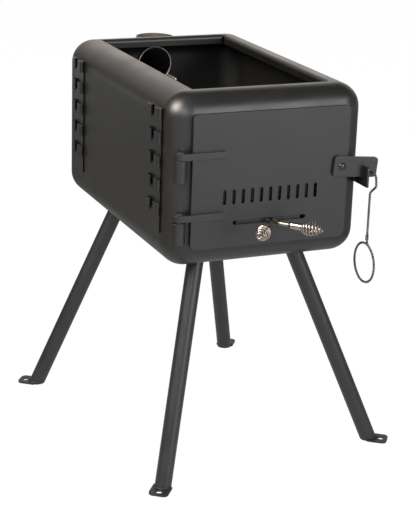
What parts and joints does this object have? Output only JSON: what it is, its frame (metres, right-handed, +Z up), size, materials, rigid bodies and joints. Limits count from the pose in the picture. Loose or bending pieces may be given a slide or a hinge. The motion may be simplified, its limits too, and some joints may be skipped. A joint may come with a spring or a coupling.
{
  "type": "outdoor wood-burning stove",
  "caption": "Open-topped outdoor wood stove: rounded steel firebox on splayed tube legs, with hinged door, drop latch, sliding air shutters and a rear flue socket.",
  "frame": {"origin": "on the ground, under the middle of the firebox", "axes": "+Z up, the door faces -Y, +X to the right seen from the door's side"},
  "size_m": [0.4994, 0.6159, 0.593],
  "materials": {
    "heat_paint": "matte",
    "nickel_wire": "bright",
    "plain_wire": "satin",
    "bare_steel": "satin",
    "scaled_steel": "dull",
    "sooty_iron": "rough"
  },
  "bodies": {
    "stove": {"firebox_shell": "heat_paint", "door_frame": "heat_paint", "flue_stub": "heat_paint", "flue_duct": "heat_paint", "flue_socket": "heat_paint", "flue_base_plate": "heat_paint", "hanger_strip_front": "heat_paint", "hanger_strip_rear": "heat_paint", "hinge_barrel_upper": "heat_paint", "hinge_barrel_lower": "heat_paint", "latch_keeper": "heat_paint", "leg_front_left": "heat_paint", "leg_front_right": "heat_paint", "leg_back_left": "heat_paint", "leg_back_right": "heat_paint", "foot_tab_front_left": "heat_paint", "foot_tab_front_right": "heat_paint", "foot_tab_back_left": "heat_paint", "foot_tab_back_right": "heat_paint", "grate_bars": "sooty_iron", "grate_ties": "sooty_iron", "grate_rail_left": "sooty_iron", "grate_rail_right": "sooty_iron", "leg_spigot_front_left": "bare_steel", "leg_spigot_front_right": "bare_steel", "leg_spigot_back_left": "bare_steel", "leg_spigot_back_right": "bare_steel"},
    "door": {"door_plate": "heat_paint", "door_liner": "scaled_steel", "liner_standoffs": "bare_steel", "hinge_strap_upper": "heat_paint", "hinge_strap_lower": "heat_paint", "hinge_pin_upper": "bare_steel", "hinge_pin_lower": "bare_steel", "shutter_rail_upper": "scaled_steel", "shutter_rail_lower": "scaled_steel", "latch_rivet": "heat_paint"},
    "latch": {"latch_bar": "heat_paint"},
    "pull": {"latch_pull": "plain_wire"},
    "left_shutter": {"shutter_plate_left": "scaled_steel", "shutter_rod_left": "bare_steel", "shutter_handle_left": "nickel_wire"},
    "right_shutter": {"shutter_plate_right": "scaled_steel", "shutter_rod_right": "bare_steel", "shutter_handle_right": "nickel_wire"}
  },
  "joints": [
    {"name": "door_hinge", "type": "hinge", "parent": "stove", "child": "door", "pos_m": [-0.142, -0.23836, 0.411], "axis": [0, 0, -1], "range_deg": [0, 160]},
    {"name": "latch_lift", "type": "hinge", "parent": "door", "child": "latch", "pos_m": [0.1125, -0.2447, 0.4765], "axis": [0, -1, 0], "range_deg": [0, 75]},
    {"name": "pull_swing", "type": "hinge", "parent": "latch", "child": "pull", "pos_m": [0.16312, -0.2447, 0.46325], "axis": [0, -1, 0], "range_deg": [-4, 60]},
    {"name": "left_shutter_slide", "type": "slide", "parent": "door", "child": "left_shutter", "axis": [-1, 0, 0], "range_m": [0, 0.046]},
    {"name": "right_shutter_slide", "type": "slide", "parent": "door", "child": "right_shutter", "axis": [1, 0, 0], "range_m": [0, 0.046]}
  ]
}
